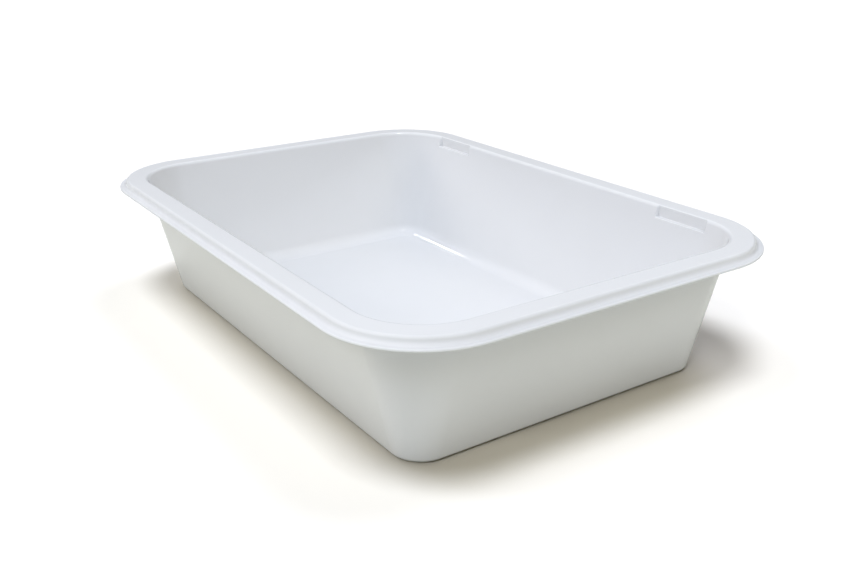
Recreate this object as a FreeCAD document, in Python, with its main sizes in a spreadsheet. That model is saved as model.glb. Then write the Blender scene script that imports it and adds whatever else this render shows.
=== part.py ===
import FreeCAD, Part

import math
import os

import Sketcher
from FreeCAD import Rotation, Vector

# A one-piece moulded tray: a flat floor, four walls that lean outwards, a flat flange round
# the mouth, and a narrow lip that steps down and out from the flange. Four shallow pockets
# high in the long walls leave ledges, on which the next tray of a stack sits.
#
# Millimetres. X runs across the tray, Y along it, Z up. The origin is the middle of the base.

DIMENSIONS = {
    "tray_height": 95.5,       # table to flange top
    "base_width": 236.6,       # base outline, where the outer wall planes meet the table
    "base_length": 358.6,
    "base_corner": 20.0,       # plan radius of the base's corners
    "wall_flare": 22.3,        # how far each wall leans out over the whole height
    "wall_skin": 1.85,         # wall thickness, measured level
    "floor_skin": 2.0,
    "mouth_corner": 44.0,      # plan radius of the well's corners at the flange top
    "rim_width": 320.0,        # over the lip
    "rim_length": 442.0,
    "rim_corner": 64.0,        # plan radius of the lip's corners
    "rim_skin": 1.8,           # thickness of flange, step and lip
    "lip_reach": 5.2,          # how far the lip stands out from the step
    "lip_drop": 5.0,           # flange top down to lip top
    "floor_round": 12.0,       # floor to wall, inside
    "base_round": 4.0,         # base to wall, outside
    "mouth_round": 3.0,        # flange to wall, inside
    "step_round": 2.0,         # flange to step, outside
    "root_round": 2.5,         # step to lip
    "lip_round": 0.8,          # lip's outer edges
    "pocket_length": 44.0,
    "pocket_centre": 135.0,    # from the tray's middle, along Y
    "pocket_depth": 8.7,       # flange top down to the ledge
    "pocket_setback": 0.8,     # pocket's back wall, outside the mouth outline
    "pocket_round": 1.5,       # plan radius of the pocket's corners
}

# Plan outlines: half width, half length and corner radius, as expressions of the sheet.


def wall_outline(height):
    """The outer wall's outline at a height. Its corners widen as the wall rises."""
    lean = f"dims.wall_flare * ({height}) / dims.tray_height"
    widening = "dims.mouth_corner + dims.wall_skin - dims.base_corner"
    return (
        f"dims.base_width / 2 + {lean}",
        f"dims.base_length / 2 + {lean}",
        f"dims.base_corner + ({widening}) * ({height}) / dims.tray_height",
    )


def inset(outline, distance):
    """The same outline moved inwards all round, about the same corner centres."""
    return tuple(f"{size} - {distance}" for size in outline)


FLANGE_TOP = "dims.tray_height"
FLANGE_UNDERSIDE = "dims.tray_height - dims.rim_skin"
LIP_TOP = "dims.tray_height - dims.lip_drop"
LIP_UNDERSIDE = "dims.tray_height - dims.lip_drop - dims.rim_skin"
LEDGE_TOP = "dims.tray_height - dims.pocket_depth"
BULGE_UNDERSIDE = "dims.tray_height - dims.pocket_depth - dims.wall_skin"

BASE = wall_outline("0")
WALL_TOP = wall_outline(FLANGE_TOP)
WELL_FLOOR = inset(wall_outline("dims.floor_skin"), "dims.wall_skin")
MOUTH = inset(WALL_TOP, "dims.wall_skin")
LIP_EDGE = ("dims.rim_width / 2", "dims.rim_length / 2", "dims.rim_corner")
STEP_OUTSIDE = inset(LIP_EDGE, "dims.lip_reach")
STEP_INSIDE = inset(STEP_OUTSIDE, "dims.rim_skin")

# The pockets' reach along X: from well inside the tray to their back walls.
POCKET_BACK = f"{MOUTH[0]} + dims.pocket_setback"
POCKET_FRONT = f"{MOUTH[0]} - dims.pocket_depth"

EDGE_TOLERANCE = 0.02
VOLUME_TOLERANCE = 1.0


def make_sheet(document):
    """The driving dimensions, one aliased cell to a row."""
    sheet = document.addObject("Spreadsheet::Sheet", "dims")
    for row, (alias, value) in enumerate(DIMENSIONS.items(), start=1):
        sheet.set(f"A{row}", alias)
        sheet.set(f"B{row}", str(value))
        sheet.setAlias(f"B{row}", alias)
    document.recompute()


def evaluate(document, expression):
    """What an expression of the sheet comes to, in millimetres."""
    return float(document.getObject("dims").evalExpression(expression))


# Sketches


def add_sketch(body, name, height):
    """An empty sketch on the body's XY plane, raised to a height."""
    sketch = body.newObject("Sketcher::SketchObject", name)
    planes = {plane.Role: plane for plane in body.Origin.OriginFeatures}
    sketch.AttachmentSupport = [(planes["XY_Plane"], "")]
    sketch.MapMode = "FlatFace"
    sketch.setExpression("AttachmentOffset.Base.z", height)
    return sketch


def bind(sketch, name, kind, points, expression):
    """A dimensional constraint whose value follows an expression."""
    value = evaluate(sketch.Document, expression)
    constraint = sketch.addConstraint(Sketcher.Constraint(kind, *points, value))
    sketch.renameConstraint(constraint, name)
    sketch.setExpression(f"Constraints.{name}", expression)


def draw_outline(sketch, name, outline, centre=("0", "0")):
    """A rounded rectangle with sides along X and Y: four lines and four arcs, anticlockwise."""
    half_width, half_length, radius = (evaluate(sketch.Document, size) for size in outline)
    middle = Vector(*(evaluate(sketch.Document, place) for place in centre), 0)
    upward = Vector(0, 0, 1)
    lines = []
    arcs = []
    for quarter in range(4):
        turn = Rotation(upward, 90 * quarter)
        straight, reach = half_width - radius, half_length
        if quarter % 2:
            straight, reach = half_length - radius, half_width
        start = middle + turn.multVec(Vector(-straight, -reach, 0))
        end = middle + turn.multVec(Vector(straight, -reach, 0))
        lines.append(sketch.addGeometry(Part.LineSegment(start, end), False))
        corner = middle + turn.multVec(Vector(straight, radius - reach, 0))
        arc_start = math.pi / 2 * (quarter - 1)
        arc = Part.ArcOfCircle(Part.Circle(corner, upward, radius), arc_start, arc_start + math.pi / 2)
        arcs.append(sketch.addGeometry(arc, False))
    shape_outline(sketch, lines, arcs)
    size_outline(sketch, name, lines, arcs[0], outline, centre)


def shape_outline(sketch, lines, arcs):
    """Level and upright sides, joined by tangent corners of one radius."""
    start, end = 1, 2
    for quarter in range(4):
        direction = "Vertical" if quarter % 2 else "Horizontal"
        following = lines[(quarter + 1) % 4]
        sketch.addConstraint(Sketcher.Constraint(direction, lines[quarter]))
        sketch.addConstraint(Sketcher.Constraint("Tangent", lines[quarter], end, arcs[quarter], start))
        sketch.addConstraint(Sketcher.Constraint("Tangent", arcs[quarter], end, following, start))
    for arc in arcs[1:]:
        sketch.addConstraint(Sketcher.Constraint("Equal", arcs[0], arc))


def size_outline(sketch, name, lines, arc, outline, centre):
    """The corner radius, and each side's distance from the sketch's origin."""
    half_width, half_length, radius = outline
    bind(sketch, f"{name}_corner", "Radius", (arc,), radius)
    front, right, back, left = lines
    sides = (
        ("front", "DistanceY", front, f"{centre[1]} - ({half_length})"),
        ("right", "DistanceX", right, f"{centre[0]} + {half_width}"),
        ("back", "DistanceY", back, f"{centre[1]} + {half_length}"),
        ("left", "DistanceX", left, f"{centre[0]} - ({half_width})"),
    )
    origin = (-1, 1)
    for side, kind, line, place in sides:
        if evaluate(sketch.Document, place) < 0:
            bind(sketch, f"{name}_{side}", kind, (line, 1, *origin), f"-({place})")
        else:
            bind(sketch, f"{name}_{side}", kind, (*origin, line, 1), place)


def outline_sketch(body, name, height, *outlines):
    """A raised sketch that holds one outline, or one inside another for a ring."""
    sketch = add_sketch(body, name, height)
    for index, outline in enumerate(outlines):
        draw_outline(sketch, f"outline{index}", outline)
    return sketch


def pocket_sketch(body, name, height, inner, outer, half_length, radius):
    """Four rounded rectangles on the long walls, from inner to outer along X."""
    sketch = add_sketch(body, name, height)
    half_width = f"(({outer}) - ({inner})) / 2"
    middle = f"(({outer}) + ({inner})) / 2"
    for side_name, side in (("left", "-"), ("right", "")):
        for end_name, end in (("front", "-"), ("back", "")):
            centre = (f"{side}({middle})", f"{end}dims.pocket_centre")
            outline = (half_width, half_length, radius)
            draw_outline(sketch, f"{side_name}_{end_name}", outline, centre)
    return sketch


# Features


def loft(body, kind, name, lower, upper):
    """A straight-sided loft between two outlines, added or subtracted."""
    feature = body.newObject(f"PartDesign::{kind}Loft", name)
    feature.Profile = (lower, [""])
    feature.Sections = [(upper, [""])]
    feature.Ruled = True
    return settle(body, feature)


def pad(body, name, sketch, length):
    feature = body.newObject("PartDesign::Pad", name)
    feature.Profile = (sketch, [""])
    feature.setExpression("Length", length)
    return settle(body, feature)


def pocket(body, name, sketch, length):
    """A cut upwards from its sketch."""
    feature = body.newObject("PartDesign::Pocket", name)
    feature.Profile = (sketch, [""])
    feature.Reversed = True
    feature.setExpression("Length", length)
    return settle(body, feature)


def fillet(body, name, radius, height, *outlines):
    """A fillet on every edge of the outlines at a height."""
    base = body.Tip
    feature = body.newObject("PartDesign::Fillet", name)
    names = []
    for outline in outlines:
        names += edges_on(base, height, outline)
    feature.Base = (base, names)
    feature.setExpression("Radius", radius)
    return settle(body, feature)


def edges_on(feature, height, outline):
    """Names of a feature's edges that lie along an outline at a height."""
    document = feature.Document
    level = evaluate(document, height)
    half_width, half_length, radius = (evaluate(document, size) for size in outline)
    names = []
    for index, edge in enumerate(feature.Shape.Edges, start=1):
        samples = edge.discretize(5)
        level_error = max(abs(point.z - level) for point in samples)
        plan_error = max(
            abs(distance_from_outline(point, half_width, half_length, radius)) for point in samples
        )
        if max(level_error, plan_error) < EDGE_TOLERANCE:
            names.append(f"Edge{index}")
    if len(names) < 8:
        raise RuntimeError(f"{feature.Name}: {len(names)} edges at height {level:.2f}")
    return names


def distance_from_outline(point, half_width, half_length, radius):
    """Signed distance in plan from a rounded rectangle, negative inside it."""
    over_x = abs(point.x) - half_width + radius
    over_y = abs(point.y) - half_length + radius
    outside = math.hypot(max(over_x, 0), max(over_y, 0))
    return outside + min(max(over_x, over_y), 0) - radius


def settle(body, feature):
    """Recompute, and stop at a feature that failed or changed nothing."""
    before = body.Tip.Shape.Volume if body.Tip and body.Tip != feature else 0.0
    body.Document.recompute()
    if {"Invalid", "Error"} & set(feature.State) or feature.Shape.isNull():
        raise RuntimeError(f"{feature.Name} failed: {feature.State}")
    body.Tip = feature
    if abs(feature.Shape.Volume - before) < VOLUME_TOLERANCE:
        raise RuntimeError(f"{feature.Name} changed nothing")
    return feature


# The tray


def make_tray(document):
    body = document.addObject("PartDesign::Body", "tray")
    body.Label = "tray"
    add_hull(body)
    add_rim(body)
    add_bulges(body)
    cut_well(body)
    round_edges(body)
    cut_pockets(body)
    return body


def add_hull(body):
    """The outside of walls and floor, as a solid block."""
    base = outline_sketch(body, "base_outline", "0", BASE)
    top = outline_sketch(body, "wall_top_outline", FLANGE_TOP, WALL_TOP)
    loft(body, "Additive", "hull", base, top)


def add_rim(body):
    """Flange, step and lip, each a level band of the same skin."""
    flange = outline_sketch(body, "flange_outline", FLANGE_UNDERSIDE, STEP_OUTSIDE)
    pad(body, "flange", flange, "dims.rim_skin")
    shoulder = wall_outline(FLANGE_UNDERSIDE)
    shoulder_round = "dims.mouth_round - dims.wall_skin"
    fillet(body, "shoulder_rounding", shoulder_round, FLANGE_UNDERSIDE, shoulder)
    step = outline_sketch(body, "step_outline", LIP_UNDERSIDE, STEP_OUTSIDE, STEP_INSIDE)
    pad(body, "step", step, "dims.lip_drop + dims.rim_skin")
    lip = outline_sketch(body, "lip_outline", LIP_UNDERSIDE, LIP_EDGE, STEP_INSIDE)
    pad(body, "lip", lip, "dims.rim_skin")


def add_bulges(body):
    """The outside of the four pockets, under the flange."""
    outer = f"{POCKET_BACK} + dims.wall_skin"
    half_length = "dims.pocket_length / 2 + dims.wall_skin"
    corner = "dims.pocket_round + dims.wall_skin"
    outlines = (POCKET_FRONT, outer, half_length, corner)
    sketch = pocket_sketch(body, "bulge_outlines", BULGE_UNDERSIDE, *outlines)
    pad(body, "bulges", sketch, f"{FLANGE_UNDERSIDE} - ({BULGE_UNDERSIDE})")


def cut_well(body):
    floor = outline_sketch(body, "well_floor_outline", "dims.floor_skin", WELL_FLOOR)
    mouth = outline_sketch(body, "mouth_outline", FLANGE_TOP, MOUTH)
    loft(body, "Subtractive", "well", floor, mouth)


def round_edges(body):
    fillet(body, "floor_rounding", "dims.floor_round", "dims.floor_skin", WELL_FLOOR)
    fillet(body, "base_rounding", "dims.base_round", "0", BASE)
    fillet(body, "mouth_rounding", "dims.mouth_round", FLANGE_TOP, MOUTH)
    fillet(body, "step_rounding", "dims.step_round", FLANGE_TOP, STEP_OUTSIDE)
    step_inside_round = "dims.step_round - dims.rim_skin"
    fillet(body, "step_inside_rounding", step_inside_round, FLANGE_UNDERSIDE, STEP_INSIDE)
    fillet(body, "root_rounding", "dims.root_round", LIP_TOP, STEP_OUTSIDE)
    fillet(body, "lip_top_rounding", "dims.lip_round", LIP_TOP, LIP_EDGE)
    fillet(body, "lip_underside_rounding", "dims.lip_round", LIP_UNDERSIDE, LIP_EDGE)


def cut_pockets(body):
    """The four pockets, open to the well and, through the mouth's rounding, to the top."""
    half_length = "dims.pocket_length / 2"
    outlines = (POCKET_FRONT, POCKET_BACK, half_length, "dims.pocket_round")
    sketch = pocket_sketch(body, "pocket_outlines", LEDGE_TOP, *outlines)
    pocket(body, "pockets", sketch, "dims.pocket_depth")


def check(document, bodies):
    """Stop if any object failed, or a part is empty or not a valid single solid."""
    for item in document.Objects:
        if {"Invalid", "Error"} & set(item.State):
            raise RuntimeError(f"{item.Name} failed: {item.State}")
    for body in bodies:
        shape = body.Shape
        if shape.isNull() or not shape.isValid() or len(shape.Solids) != 1:
            raise RuntimeError(f"{body.Label} is not one valid solid")


def main():
    document = FreeCAD.newDocument("developing_tray")
    make_sheet(document)
    bodies = [make_tray(document)]
    document.recompute()
    check(document, bodies)
    os.makedirs("parts", exist_ok=True)
    for body in bodies:
        body.Shape.exportStep(os.path.join("parts", f"{body.Label}.step"))


main()
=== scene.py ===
import math

import bpy
import numpy as np
from mathutils import Matrix, Vector


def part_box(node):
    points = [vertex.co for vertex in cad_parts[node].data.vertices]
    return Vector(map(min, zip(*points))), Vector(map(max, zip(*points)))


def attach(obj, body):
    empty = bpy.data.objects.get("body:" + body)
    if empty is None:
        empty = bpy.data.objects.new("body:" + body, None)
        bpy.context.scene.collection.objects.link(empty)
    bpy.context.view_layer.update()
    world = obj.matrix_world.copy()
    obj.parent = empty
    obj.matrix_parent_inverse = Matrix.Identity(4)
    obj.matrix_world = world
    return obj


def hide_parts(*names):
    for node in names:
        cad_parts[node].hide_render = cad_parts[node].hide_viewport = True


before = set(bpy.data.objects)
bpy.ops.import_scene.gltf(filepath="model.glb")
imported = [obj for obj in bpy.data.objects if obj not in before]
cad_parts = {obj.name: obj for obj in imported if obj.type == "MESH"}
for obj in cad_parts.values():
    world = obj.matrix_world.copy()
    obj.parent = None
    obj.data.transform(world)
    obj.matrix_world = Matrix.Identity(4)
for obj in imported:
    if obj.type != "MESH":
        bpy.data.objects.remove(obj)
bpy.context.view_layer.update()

# The tray is one moulding, so it is one piece: a closed mesh of rings, stepped along the
# section from the edge of the flat floor, up, over the rim, and down to the base. Flat
# patches close the floor and the base. Sizes are in millimetres and angles in degrees, in
# the frame of the CAD part, where +Z is up and the long sides face -X and +X.

MM = 0.001
TRAY = "tray"
box_low, box_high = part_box(TRAY)
RIM_HALF_WIDTH = (box_high.x - box_low.x) / 2 / MM
RIM_HALF_LENGTH = (box_high.y - box_low.y) / 2 / MM
HEIGHT = (box_high.z - box_low.z) / MM

# The section. An inset is a level distance inwards from the lip's outer edge.
RIM_CORNER = 64.0
BASE_INSET = 41.7
BASE_CORNER = 20.0
WALL_FLARE = 22.3
WALL_SKIN = 1.85
MOUTH_CORNER = 44.0
FLOOR_TOP = 2.0
RIM_SKIN = 1.8
LIP_REACH = 5.2
LIP_DROP = 5.0
FLOOR_ROUND = 12.0
BASE_ROUND = 4.0
MOUTH_ROUND = 3.0
STEP_ROUND = 2.0
ROOT_ROUND = 2.5
LIP_ROUND = 0.8
UNDERSIDE_ROUND = 0.3
PATCH_MARGIN = 1.0          # level strip kept between a rounding and its flat patch

# The four stacking pockets, high in the long walls, and the bulges behind them.
POCKET_LENGTH = 44.0
POCKET_CENTRE = 135.0
POCKET_DEPTH = 8.7
POCKET_SETBACK = 0.8
LEDGE_ROUND = 0.8
POCKET_END_BLEND = 1.4      # how far along Y a pocket's end takes to turn in
BULGE_EDGE_ROUND = 1.0
BULGE_ROOT_ROUND = 0.8
BULGE_MARGIN = 1.5          # wall kept between a bulge's underside and the points above it

# How finely the section's roundings and the plain stretches between them are divided.
FLOOR_ARC_STEPS = 14
MOUTH_ARC_STEPS = 10
STEP_ARC_STEPS = 12
BASE_ARC_STEPS = 8
SMALL_ARC_STEPS = 6
UNDERSIDE_ARC_STEPS = 3
LEDGE_ARC_STEPS = 3
BULGE_EDGE_STEPS = 4
BULGE_ROOT_STEPS = 3
WALL_POINTS = 12
FLANGE_POINTS = 5
UNDERSIDE_POINTS = 4
LIP_POINTS = 2
SKIRT_POINTS = 1
POCKET_WALL_POINTS = 3
BULGE_WALL_POINTS = 2

# How finely a ring is divided, seen from above. Stations are places along a long side.
CORNER_STEPS = 24
SHORT_SIDE_STEPS = 16
STATION_SPACING = 14.0
SPACED_STATIONS = 8
LAST_BEFORE_POCKET = 106.0
FROM_POCKET_CENTRE = (-20.0, -15.0, -7.5, 0.0, 7.5, 15.0, 20.0)
IN_POCKET_END = (-0.5, -0.25, 0.0, 0.25, 0.5)      # shares of a pocket end's blend
LAST_STATION = 161.0        # past the corner arc's start, a station follows the arc

# Plastic: ranges of colour and roughness. Each noise has a scale per metre, and a detail.
PLASTIC_DARK = (0.73, 0.74, 0.75)
PLASTIC_LIGHT = (0.75, 0.76, 0.77)
POLISH = (0.09, 0.14)
PLASTIC_IOR = 1.5
TONE_NOISE = (9.0, 3.0)
POLISH_NOISE = (28.0, 4.0)
WAVE_NOISE = (22.0, 1.0)
WAVE_DEPTH = 0.15
PEEL_NOISE = (420.0, 2.0)
PEEL_DEPTH = 0.004
NOISE_RANGE = (0.3, 0.7)    # most of a noise's values lie in it

# Floor, lit brighter for the camera than for the light that it throws back.
FLOOR_COLOUR = (0.605, 0.54, 0.40)
FLOOR_BOUNCE = (0.43, 0.395, 0.275)
FLOOR_ROUGHNESS = 0.9
FLOOR_HALF_SIZE = 6000.0
FLOOR_GAP = 0.2             # between the floor and the tray's base

# World: strength for matt surfaces, and for reflections near the horizon and overhead.
AMBIENT = 0.15
SKY_LOW = 0.3
SKY_HIGH = 0.9
SKY_RISE = (0.05, 0.65)     # the sky brightens while a unit direction's Z goes from one to the other

# Where the two glint lamps stand, and what they aim at.
CEILING = (-100, -375, 1449)
FAR_MOUTH_CORNER = (130, 200, 95)
BEHIND_END_WALL = (121, 347, 189)
FLOOR_ROUNDING = (113, 111, 4)

# Camera, round its aim. The lens is its focal length on a 36 mm wide sensor.
CAMERA_AZIMUTH = -34.204
CAMERA_ELEVATION = 21.198
CAMERA_ROLL = -0.20
CAMERA_DISTANCE = 731.4
CAMERA_AIM = (7.7, -8.2, 30.7)
CAMERA_LENS = 41.16
CAMERA_REACH = 50000.0


# Section


def wall_inset(height):
    """Inset of the outer wall at a height."""
    return BASE_INSET - WALL_FLARE * height / HEIGHT


def corner_radius(inset, height):
    """Plan radius of a ring: concentric with the wall below the flange and with the lip outside
    it, with an even change between the two across the flange."""
    widening = MOUTH_CORNER + WALL_SKIN - BASE_CORNER
    by_wall = BASE_CORNER + widening * height / HEIGHT - (inset - wall_inset(height))
    by_rim = RIM_CORNER - inset
    flange_inner = wall_inset(HEIGHT)
    flange_outer = LIP_REACH + STEP_ROUND
    share = min(max((flange_inner - inset) / (flange_inner - flange_outer), 0), 1)
    return by_wall + share * (by_rim - by_wall)


def round_corner(before, corner, after, radius, steps):
    """Points along the arc that rounds a corner of the section."""
    before, corner, after = (np.array(point, float) for point in (before, corner, after))
    inward = (before - corner) / np.linalg.norm(before - corner)
    outward = (after - corner) / np.linalg.norm(after - corner)
    half_angle = math.acos(inward @ outward) / 2
    bisector = (inward + outward) / np.linalg.norm(inward + outward)
    centre = corner + bisector * radius / math.sin(half_angle)
    first = corner + inward * radius / math.tan(half_angle) - centre
    last = corner + outward * radius / math.tan(half_angle) - centre
    sweep = math.pi - 2 * half_angle
    points = []
    for step in range(steps + 1):
        angle = sweep * step / steps
        spoke = (first * math.sin(sweep - angle) + last * math.sin(angle)) / math.sin(sweep)
        points.append(tuple(centre + spoke))
    return points


def between(start, end, count):
    """Points between two points of the section, both left out."""
    shares = [step / (count + 1) for step in range(1, count + 1)]
    return [tuple(np.array(start) + share * (np.array(end) - np.array(start))) for share in shares]


def well_wall(height):
    """Point of the section on the inner wall, at a height."""
    return (wall_inset(height) + WALL_SKIN, height)


def outer_wall(height):
    """Point of the section on the outer wall, at a height."""
    return (wall_inset(height), height)


def make_section():
    """The section as (inset, height) points, and the points they move to in a pocket.

    Also gives the number of the first point on the outer wall.
    """
    floor_corner = well_wall(FLOOR_TOP)
    mouth = well_wall(HEIGHT)
    step_top = (LIP_REACH, HEIGHT)
    step_foot = (LIP_REACH, HEIGHT - LIP_DROP)
    lip_top = (0.0, HEIGHT - LIP_DROP)
    lip_bottom = (0.0, HEIGHT - LIP_DROP - RIM_SKIN)
    skirt_foot = (LIP_REACH + RIM_SKIN, HEIGHT - LIP_DROP - RIM_SKIN)
    skirt_top = (LIP_REACH + RIM_SKIN, HEIGHT - RIM_SKIN)
    shoulder = outer_wall(HEIGHT - RIM_SKIN)
    base_corner = outer_wall(0.0)
    far_in = 2 * BASE_INSET
    floor_arc = round_corner((far_in, FLOOR_TOP), floor_corner, mouth, FLOOR_ROUND, FLOOR_ARC_STEPS)
    mouth_arc = round_corner(floor_corner, mouth, step_top, MOUTH_ROUND, MOUTH_ARC_STEPS)
    step_arc = round_corner(mouth, step_top, step_foot, STEP_ROUND, STEP_ARC_STEPS)
    root_arc = round_corner(step_top, step_foot, lip_top, ROOT_ROUND, SMALL_ARC_STEPS)
    lip_top_arc = round_corner(step_foot, lip_top, lip_bottom, LIP_ROUND, SMALL_ARC_STEPS)
    lip_bottom_arc = round_corner(lip_top, lip_bottom, skirt_foot, LIP_ROUND, SMALL_ARC_STEPS)
    skirt_foot_arc = round_corner(
        lip_bottom, skirt_foot, skirt_top, UNDERSIDE_ROUND, UNDERSIDE_ARC_STEPS)
    skirt_top_round = STEP_ROUND - RIM_SKIN
    skirt_top_arc = round_corner(skirt_foot, skirt_top, shoulder, skirt_top_round, SMALL_ARC_STEPS)
    shoulder_round = MOUTH_ROUND - WALL_SKIN
    shoulder_arc = round_corner(skirt_top, shoulder, base_corner, shoulder_round, SMALL_ARC_STEPS)
    base_arc = round_corner(shoulder, base_corner, (far_in, 0.0), BASE_ROUND, BASE_ARC_STEPS)
    inner = [(floor_arc[0][0] + PATCH_MARGIN, FLOOR_TOP)] + floor_arc
    inner_pocket = inner.copy()
    add_pocket(inner, inner_pocket, mouth_arc)
    rim = between(mouth_arc[-1], step_arc[0], FLANGE_POINTS) + step_arc + root_arc
    rim += between(root_arc[-1], lip_top_arc[0], LIP_POINTS) + lip_top_arc + lip_bottom_arc[1:]
    rim += between(lip_bottom_arc[-1], skirt_foot_arc[0], LIP_POINTS) + skirt_foot_arc
    rim += between(skirt_foot_arc[-1], skirt_top_arc[0], SKIRT_POINTS) + skirt_top_arc
    rim += between(skirt_top_arc[-1], shoulder_arc[0], UNDERSIDE_POINTS)
    outer = []
    outer_bulge = []
    add_bulge(outer, outer_bulge, shoulder_arc, base_arc)
    outer += base_arc + [(base_arc[-1][0] + PATCH_MARGIN, 0.0)]
    outer_bulge += outer[len(outer_bulge):]
    return inner + rim + outer, inner_pocket + rim + outer_bulge, len(inner) + len(rim)


def pocket_back():
    """Inset of the pockets' back walls."""
    return well_wall(HEIGHT)[0] - POCKET_SETBACK


def add_pocket(inner, inner_pocket, mouth_arc):
    """Inner wall from the floor's rounding to the flange, plain and as it is in a pocket."""
    ledge = HEIGHT - POCKET_DEPTH
    back = pocket_back()
    below = between(inner[-1], well_wall(ledge - LEDGE_ROUND), WALL_POINTS)
    inner += below
    inner_pocket += below
    front_corner, back_corner = well_wall(ledge), (back, ledge)
    edge = round_corner(
        well_wall(0.0), front_corner, back_corner, LEDGE_ROUND, LEDGE_ARC_STEPS)
    inside = round_corner(
        front_corner, back_corner, (back, HEIGHT), LEDGE_ROUND, LEDGE_ARC_STEPS)
    ledge_points = edge + inside
    first = ledge - LEDGE_ROUND
    for index, point in enumerate(ledge_points):
        share = index / (len(ledge_points) - 1)
        inner.append(well_wall(first + share * (inside[-1][1] - first)))
        inner_pocket.append(point)
    above = between(inner[-1], mouth_arc[0], POCKET_WALL_POINTS) + mouth_arc
    inner += above
    inner_pocket += [(min(inset, back), height) for inset, height in above]


def add_bulge(outer, outer_bulge, shoulder_arc, base_arc):
    """Outer wall from the flange down, plain and as it is behind a pocket."""
    back = pocket_back() - WALL_SKIN
    underside = HEIGHT - POCKET_DEPTH - WALL_SKIN
    lowest = outer_wall(underside + BULGE_MARGIN)
    above = shoulder_arc + between(shoulder_arc[-1], lowest, BULGE_WALL_POINTS)
    outer += above
    outer_bulge += [(min(inset, back), height) for inset, height in above]
    edge_corner, root_corner = (back, underside), outer_wall(underside)
    edge = round_corner(
        (back, HEIGHT), edge_corner, root_corner, BULGE_EDGE_ROUND, BULGE_EDGE_STEPS)
    root = round_corner(
        edge_corner, root_corner, base_arc[0], BULGE_ROOT_ROUND, BULGE_ROOT_STEPS)
    first = underside + BULGE_EDGE_ROUND
    for index, point in enumerate(edge + root):
        share = index / (len(edge + root) - 1)
        outer.append(outer_wall(first + share * (root[-1][1] - first)))
        outer_bulge.append(point)
    below = between(outer[-1], base_arc[0], WALL_POINTS)
    outer += below
    outer_bulge += below


# Plan


def side_stations():
    """Places along a long side, from one end to the other, close together at pocket ends."""
    reach = POCKET_LENGTH / 2
    ends = []
    for end in (POCKET_CENTRE - reach, POCKET_CENTRE + reach):
        outward = math.copysign(WALL_SKIN, end - POCKET_CENTRE)
        for middle in (end, end + outward):
            for step in IN_POCKET_END:
                ends.append(middle + step * POCKET_END_BLEND)
    plain = [STATION_SPACING * step for step in range(SPACED_STATIONS)] + [LAST_BEFORE_POCKET]
    plain += [POCKET_CENTRE + step for step in FROM_POCKET_CENTRE]
    half = sorted(plain + ends + [LAST_STATION])
    return [-place for place in reversed(half[1:])] + half


def pocket_share(place, spill):
    """How far a station is inside a pocket, from 0 to 1. The spill lengthens the pocket."""
    over = POCKET_LENGTH / 2 + spill - abs(abs(place) - POCKET_CENTRE)
    share = min(max(over / POCKET_END_BLEND + 0.5, 0), 1)
    return share * share * (3 - 2 * share)


def ring_points(plain, pocketed, spill, stations):
    """One ring, anticlockwise from the -Y end of the +X side, and level outside the pockets."""
    inset, height = plain
    half_width = RIM_HALF_WIDTH - inset
    half_length = RIM_HALF_LENGTH - inset
    radius = corner_radius(inset, height)
    centre_x, centre_y = half_width - radius, half_length - radius
    side = []
    for place in stations:
        past = max(abs(place) - centre_y, 0)
        x = centre_x + math.sqrt(radius * radius - past * past)
        share = pocket_share(place, spill)
        x += share * (RIM_HALF_WIDTH - pocketed[0] - x)
        side.append((x, place, height + share * (pocketed[1] - height)))
    first_turn = math.asin(max(LAST_STATION - centre_y, 0) / radius)
    corner = []
    for step in range(1, CORNER_STEPS):
        turn = first_turn + (math.pi / 2 - first_turn) * step / CORNER_STEPS
        x = centre_x + radius * math.cos(turn)
        y = centre_y + radius * math.sin(turn)
        corner.append((x, y, height))
    end = []
    for step in range(SHORT_SIDE_STEPS + 1):
        end.append((centre_x * (1 - 2 * step / SHORT_SIDE_STEPS), half_length, height))
    half = side + corner + end + [(-x, y, z) for x, y, z in reversed(corner)]
    return half + [(-x, -y, z) for x, y, z in half]


def patch_grid(loop, stations):
    """A ring's indices as four sides from corner to corner, for a flat patch inside it."""
    corner_middle = CORNER_STEPS // 2
    count = len(loop)
    long_steps = len(stations) - 1 + CORNER_STEPS
    short_steps = SHORT_SIDE_STEPS + CORNER_STEPS
    start = count - corner_middle
    right = [loop[(start + step) % count] for step in range(long_steps + 1)]
    start += long_steps
    back = [loop[(start + step) % count] for step in range(short_steps + 1)]
    start += short_steps
    left = [loop[(start + step) % count] for step in range(long_steps + 1)]
    start += long_steps
    front = [loop[(start + step) % count] for step in range(short_steps + 1)]
    return right, back, left, front


def fill_patch(vertices, faces, loop, stations, upward):
    """Fills a flat ring with a grid of quads, by transfinite interpolation of its sides."""
    right, back, left, front = patch_grid(loop, stations)
    left, back = left[::-1], back[::-1]
    rows, columns = len(right) - 1, len(front) - 1
    grid = [[None] * (columns + 1) for _ in range(rows + 1)]
    for row in range(rows + 1):
        grid[row][0], grid[row][columns] = left[row], right[row]
    for column in range(columns + 1):
        grid[0][column], grid[rows][column] = front[column], back[column]
    place = {index: np.array(vertices[index]) for index in set(right + back + left + front)}
    front_left, front_right = place[grid[0][0]], place[grid[0][columns]]
    back_left, back_right = place[grid[rows][0]], place[grid[rows][columns]]
    for row in range(1, rows):
        v = row / rows
        for column in range(1, columns):
            u = column / columns
            point = (1 - u) * place[left[row]] + u * place[right[row]]
            point = point + (1 - v) * place[front[column]] + v * place[back[column]]
            point = point - (1 - v) * ((1 - u) * front_left + u * front_right)
            point = point - v * ((1 - u) * back_left + u * back_right)
            grid[row][column] = len(vertices)
            vertices.append(tuple(point))
    for row in range(rows):
        here, beyond = grid[row], grid[row + 1]
        for column in range(columns):
            quad = (here[column], here[column + 1], beyond[column + 1], beyond[column])
            faces.append(quad if upward else quad[::-1])


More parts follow.
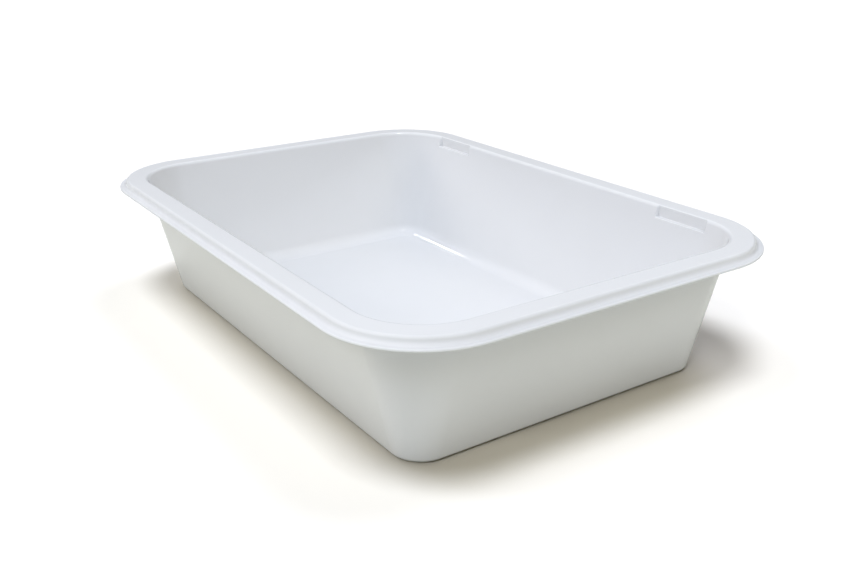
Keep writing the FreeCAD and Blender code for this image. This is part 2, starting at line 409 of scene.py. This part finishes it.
def make_tray():
    """The tray's mesh object, in metres."""
    plain, pocketed, first_outer = make_section()
    stations = side_stations()
    vertices = []
    loops = []
    for index, (here, in_pocket) in enumerate(zip(plain, pocketed)):
        spill = 0.0 if index < first_outer else WALL_SKIN
        points = ring_points(here, in_pocket, spill, stations)
        loops.append(list(range(len(vertices), len(vertices) + len(points))))
        vertices += points
    faces = []
    for lower, upper in zip(loops, loops[1:]):
        for step in range(len(lower)):
            following = (step + 1) % len(lower)
            faces.append((lower[step], upper[step], upper[following], lower[following]))
    fill_patch(vertices, faces, loops[0], stations, upward=True)
    fill_patch(vertices, faces, loops[-1], stations, upward=False)
    mesh = bpy.data.meshes.new("moulded_tray")
    mesh.from_pydata([tuple(size * MM for size in vertex) for vertex in vertices], [], faces)
    mesh.shade_smooth()
    mesh.update()
    tray = bpy.data.objects.new("moulded_tray", mesh)
    bpy.context.scene.collection.objects.link(tray)
    tray.modifiers.new("weighted_normals", "WEIGHTED_NORMAL")
    return tray


# Surface


def plain_noise(nodes, links, place, scale, detail):
    """A noise texture's value over the object's own coordinates."""
    noise = nodes.new("ShaderNodeTexNoise")
    noise.inputs["Scale"].default_value = scale
    noise.inputs["Detail"].default_value = detail
    links.new(place, noise.inputs["Vector"])
    return noise.outputs["Fac"]


def spread_value(nodes, links, value, lowest, highest):
    """Stretches a noise value to the range from lowest to highest."""
    stretch = nodes.new("ShaderNodeMapRange")
    stretch.inputs["From Min"].default_value = NOISE_RANGE[0]
    stretch.inputs["From Max"].default_value = NOISE_RANGE[1]
    stretch.inputs["To Min"].default_value = lowest
    stretch.inputs["To Max"].default_value = highest
    links.new(value, stretch.inputs["Value"])
    return stretch.outputs["Result"]


def add_bump(nodes, links, height, depth, below=None):
    """Relief of a depth in millimetres, over the relief below it."""
    bump = nodes.new("ShaderNodeBump")
    bump.inputs["Strength"].default_value = 1.0
    bump.inputs["Distance"].default_value = depth * MM
    links.new(height, bump.inputs["Height"])
    if below:
        links.new(below, bump.inputs["Normal"])
    return bump.outputs["Normal"]


def moulded_plastic():
    """White glossy plastic: faint clouds of tone, uneven polish, slow waves, fine orange peel."""
    material = bpy.data.materials.new("white_moulded_plastic")
    material.use_nodes = True
    nodes, links = material.node_tree.nodes, material.node_tree.links
    shader = nodes["Principled BSDF"]
    shader.inputs["IOR"].default_value = PLASTIC_IOR
    place = nodes.new("ShaderNodeTexCoord").outputs["Object"]
    tone = nodes.new("ShaderNodeMix")
    tone.data_type = "RGBA"
    tone.inputs["A"].default_value = (*PLASTIC_DARK, 1.0)
    tone.inputs["B"].default_value = (*PLASTIC_LIGHT, 1.0)
    clouds = plain_noise(nodes, links, place, *TONE_NOISE)
    links.new(spread_value(nodes, links, clouds, 0.0, 1.0), tone.inputs["Factor"])
    links.new(tone.outputs["Result"], shader.inputs["Base Color"])
    smears = plain_noise(nodes, links, place, *POLISH_NOISE)
    links.new(spread_value(nodes, links, smears, *POLISH), shader.inputs["Roughness"])
    waves = add_bump(nodes, links, plain_noise(nodes, links, place, *WAVE_NOISE), WAVE_DEPTH)
    grain = plain_noise(nodes, links, place, *PEEL_NOISE)
    peel = add_bump(nodes, links, grain, PEEL_DEPTH, waves)
    links.new(peel, shader.inputs["Normal"])
    return material


def pale_floor():
    """Pale cream table. The camera sees it brighter than the light that it throws back."""
    material = bpy.data.materials.new("pale_floor")
    material.use_nodes = True
    nodes, links = material.node_tree.nodes, material.node_tree.links
    shader = nodes["Principled BSDF"]
    shader.inputs["Roughness"].default_value = FLOOR_ROUGHNESS
    shader.inputs["Specular IOR Level"].default_value = 0.0
    seen = nodes.new("ShaderNodeMix")
    seen.data_type = "RGBA"
    seen.inputs["A"].default_value = (*FLOOR_BOUNCE, 1.0)
    seen.inputs["B"].default_value = (*FLOOR_COLOUR, 1.0)
    links.new(nodes.new("ShaderNodeLightPath").outputs["Is Camera Ray"], seen.inputs["Factor"])
    links.new(seen.outputs["Result"], shader.inputs["Base Color"])
    return material


# Studio


def add_floor():
    """A level square, a little below the tray so that the two never touch."""
    half = FLOOR_HALF_SIZE * MM
    corners = [(-half, -half, 0), (half, -half, 0), (half, half, 0), (-half, half, 0)]
    mesh = bpy.data.meshes.new("studio_floor")
    mesh.from_pydata(corners, [], [(0, 1, 2, 3)])
    floor = bpy.data.objects.new("studio_floor", mesh)
    floor.location.z = -FLOOR_GAP * MM
    mesh.materials.append(pale_floor())
    bpy.context.scene.collection.objects.link(floor)
    return floor


def heading(azimuth, elevation):
    """Unit vector from the tray. Azimuth 0 is the -Y side, turning towards +X."""
    turn, rise = math.radians(azimuth), math.radians(elevation)
    level = math.cos(rise)
    return Vector((math.sin(turn) * level, -math.cos(turn) * level, math.sin(rise)))


def add_lamp(name, azimuth, elevation, spread, colour, receiver):
    """A distant soft lamp that lights only its receiver, and doesn't show in reflections.

    The spread is the angle that the lamp fills in the sky. The colour also sets the brightness.
    """
    lamp = bpy.data.lights.new(name, "SUN")
    lamp.energy = 1.0
    lamp.color = colour
    lamp.angle = math.radians(spread)
    lit = bpy.data.objects.new(name, lamp)
    lit.rotation_euler = heading(azimuth, elevation).to_track_quat("Z", "Y").to_euler()
    lit.visible_glossy = False
    bpy.context.scene.collection.objects.link(lit)
    only = bpy.data.collections.new(name + "_receiver")
    only.objects.link(receiver)
    lit.light_linking.receiver_collection = only


def add_glint(name, place, target, size, spread, watts, blocker=None):
    """A small square lamp with a narrow beam, which shows only in reflections.

    When a blocker is given, nothing else can stand in the lamp's light.
    """
    lamp = bpy.data.lights.new(name, "AREA")
    lamp.size = size * MM
    lamp.spread = math.radians(spread)
    lamp.energy = watts
    glint = bpy.data.objects.new(name, lamp)
    glint.location = Vector(place) * MM
    backwards = Vector(place) - Vector(target)
    glint.rotation_euler = backwards.to_track_quat("Z", "Y").to_euler()
    glint.visible_camera = False
    glint.visible_diffuse = False
    bpy.context.scene.collection.objects.link(glint)
    if blocker:
        only = bpy.data.collections.new(name + "_blocker")
        only.objects.link(blocker)
        glint.light_linking.blocker_collection = only


def add_world():
    """Faint even light for matt surfaces, and a pale sky for the plastic to reflect.

    The camera sees white beyond the floor.
    """
    world = bpy.data.worlds.new("studio")
    world.use_nodes = True
    world.cycles.sampling_method = "NONE"
    nodes, links = world.node_tree.nodes, world.node_tree.links
    parts = nodes.new("ShaderNodeSeparateXYZ")
    links.new(nodes.new("ShaderNodeTexCoord").outputs["Generated"], parts.inputs["Vector"])
    reflected = nodes.new("ShaderNodeMapRange")
    reflected.interpolation_type = "SMOOTHSTEP"
    reflected.inputs["From Min"].default_value = SKY_RISE[0]
    reflected.inputs["From Max"].default_value = SKY_RISE[1]
    reflected.inputs["To Min"].default_value = SKY_LOW
    reflected.inputs["To Max"].default_value = SKY_HIGH
    links.new(parts.outputs["Z"], reflected.inputs["Value"])
    path = nodes.new("ShaderNodeLightPath")
    strength = nodes.new("ShaderNodeMix")
    strength.inputs["A"].default_value = AMBIENT
    links.new(path.outputs["Is Glossy Ray"], strength.inputs["Factor"])
    links.new(reflected.outputs["Result"], strength.inputs["B"])
    whitened = nodes.new("ShaderNodeMath")
    whitened.operation = "ADD"
    links.new(strength.outputs["Result"], whitened.inputs[0])
    links.new(path.outputs["Is Camera Ray"], whitened.inputs[1])
    links.new(whitened.outputs["Value"], nodes["Background"].inputs["Strength"])
    nodes["Background"].inputs["Color"].default_value = (1, 1, 1, 1)
    bpy.context.scene.world = world


def add_camera():
    """Looks down across the corner where the -Y end meets the -X side."""
    data = bpy.data.cameras.new("camera")
    data.lens = CAMERA_LENS
    data.clip_end = CAMERA_REACH * MM
    camera = bpy.data.objects.new("camera", data)
    back = heading(CAMERA_AZIMUTH, CAMERA_ELEVATION)
    camera.location = (Vector(CAMERA_AIM) + back * CAMERA_DISTANCE) * MM
    rotation = back.to_track_quat("Z", "Y").to_matrix().to_4x4()
    roll = Matrix.Rotation(math.radians(CAMERA_ROLL), 4, "Z")
    camera.rotation_euler = (rotation @ roll).to_euler()
    bpy.context.scene.collection.objects.link(camera)
    bpy.context.scene.camera = camera


tray = make_tray()
tray.data.materials.append(moulded_plastic())
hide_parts(TRAY)
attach(tray, "root")
floor = add_floor()
add_world()

# Lamps for the tray alone: azimuth, elevation, spread and colour.
add_lamp("front_low", 14, 40, 40, (0.81, 0.745, 0.63), tray)
add_lamp("front_high", 350, 55, 34, (0.79, 0.86, 0.99), tray)
add_lamp("left_low", 258, 40, 40, (0.70, 0.67, 0.63), tray)
add_lamp("left_high", 280, 55, 34, (0.72, 0.80, 0.97), tray)
add_lamp("back_right", 135, 40, 40, (0.83, 0.89, 1.00), tray)
add_lamp("back_left", 225, 25, 24, (0.76, 0.71, 0.68), tray)

# Lamps for the floor alone. They leave a soft shadow round the tray, and white beyond it.
add_lamp("floor_key", 300, 75, 20, (2.80, 3.16, 4.30), floor)
add_lamp("floor_low", 300, 42, 20, (1.30, 1.42, 1.76), floor)
add_lamp("floor_right", 90, 64, 24, (1.10, 1.24, 1.85), floor)
add_lamp("floor_left", 240, 64, 14, (0.85, 0.98, 1.45), floor)

# Lamps for faint spots on the far corner and the ledges, and for the streak on the floor's
# rounding. The end wall would hide the second one, so only the floor is let into its light.
add_glint("ceiling_glint", CEILING, FAR_MOUTH_CORNER, size=200, spread=18, watts=0.03)
add_glint("back_glint", BEHIND_END_WALL, FLOOR_ROUNDING, size=35, spread=30, watts=0.006, blocker=floor)
add_camera()
bpy.context.scene.view_settings.view_transform = "Standard"
